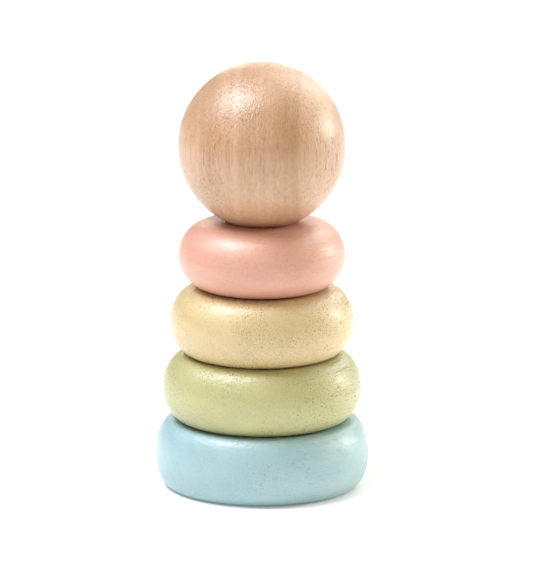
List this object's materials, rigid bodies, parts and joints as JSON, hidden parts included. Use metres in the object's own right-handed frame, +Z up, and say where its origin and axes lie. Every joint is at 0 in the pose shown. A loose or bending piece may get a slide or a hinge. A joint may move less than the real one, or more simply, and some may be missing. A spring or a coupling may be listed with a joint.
{
  "type": "stacking ring toy",
  "caption": "Turned wooden stacking toy: a round base with a fixed post carries loose rings that taper upwards, capped by a ball.",
  "frame": {"origin": "centre of the base's underside, on the surface that the toy stands on", "axes": "+Z up along the post's axis, from the base to the ball; the toy is round about Z, so X and Y are free"},
  "size_m": [0.1, 0.1, 0.2003],
  "materials": {
    "blue_stained_wood": "pale blue stain under satin lacquer, fine grain showing through",
    "green_stained_wood": "pale green stain under satin lacquer, fine grain showing through",
    "yellow_stained_wood": "pale yellow stain under satin lacquer, dark pores showing through",
    "pink_stained_wood": "pale pink stain under satin lacquer, fine grain showing through",
    "natural_wood": "sanded natural hardwood under satin lacquer",
    "zinc_plated_steel": "bright zinc plate"
  },
  "bodies": {
    "base": {"base": "blue_stained_wood", "post": "natural_wood", "post_screw": "zinc_plated_steel", "screw_plug": "natural_wood"},
    "green_ring": {"green_ring": "green_stained_wood"},
    "yellow_ring": {"yellow_ring": "yellow_stained_wood"},
    "pink_ring": {"pink_ring": "pink_stained_wood"},
    "ball": {"ball": "natural_wood"}
  },
  "joints": [
    {"name": "green_ring_lift", "type": "slide", "parent": "base", "child": "green_ring", "axis": [0, 0, 1], "range_m": [0, 0.114]},
    {"name": "yellow_ring_lift", "type": "slide", "parent": "green_ring", "child": "yellow_ring", "axis": [0, 0, 1], "range_m": [0, 0.083]},
    {"name": "pink_ring_lift", "type": "slide", "parent": "yellow_ring", "child": "pink_ring", "axis": [0, 0, 1], "range_m": [0, 0.051]},
    {"name": "ball_lift", "type": "slide", "parent": "pink_ring", "child": "ball", "axis": [0, 0, 1], "range_m": [0, 0.02]}
  ]
}
